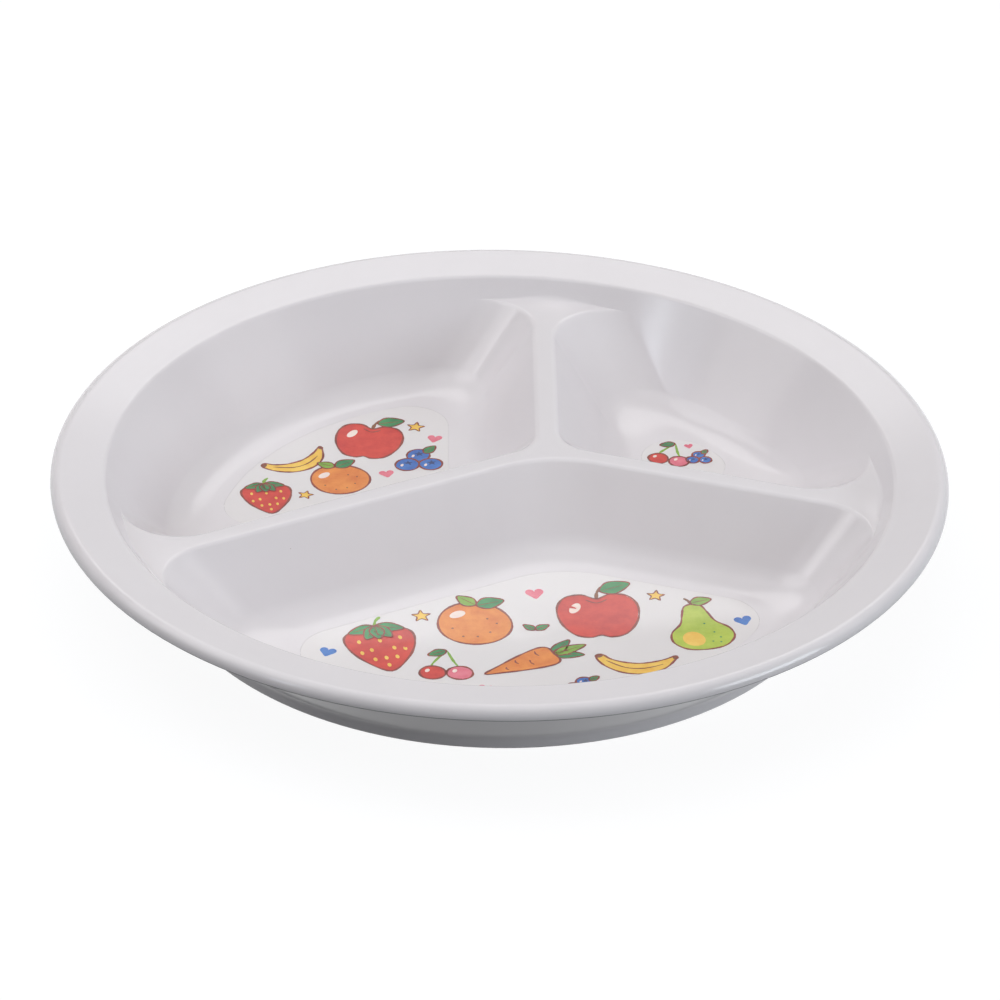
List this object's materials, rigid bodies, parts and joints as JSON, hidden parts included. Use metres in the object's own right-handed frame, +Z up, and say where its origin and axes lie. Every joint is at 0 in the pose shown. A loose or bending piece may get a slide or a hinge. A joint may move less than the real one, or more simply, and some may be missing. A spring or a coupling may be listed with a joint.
{
  "type": "divided compartment plate",
  "caption": "Round white melamine lunch plate with a broad rim, a Y-shaped divider between its compartments and a printed foil in each floor.",
  "frame": {"origin": "centre of the foot ring, on the table that the plate stands on", "axes": "+Z up, +X to the right and +Y to the back, with the large compartment in front and the two small ones behind it"},
  "size_m": [0.22, 0.22, 0.0288],
  "materials": {
    "white_melamine": "gloss",
    "printed_foil": "gloss"
  },
  "bodies": {
    "root": {"plate_body": "white_melamine", "decal_foil_front": "printed_foil", "decal_foil_left": "printed_foil", "decal_foil_right": "printed_foil"}
  },
  "joints": []
}
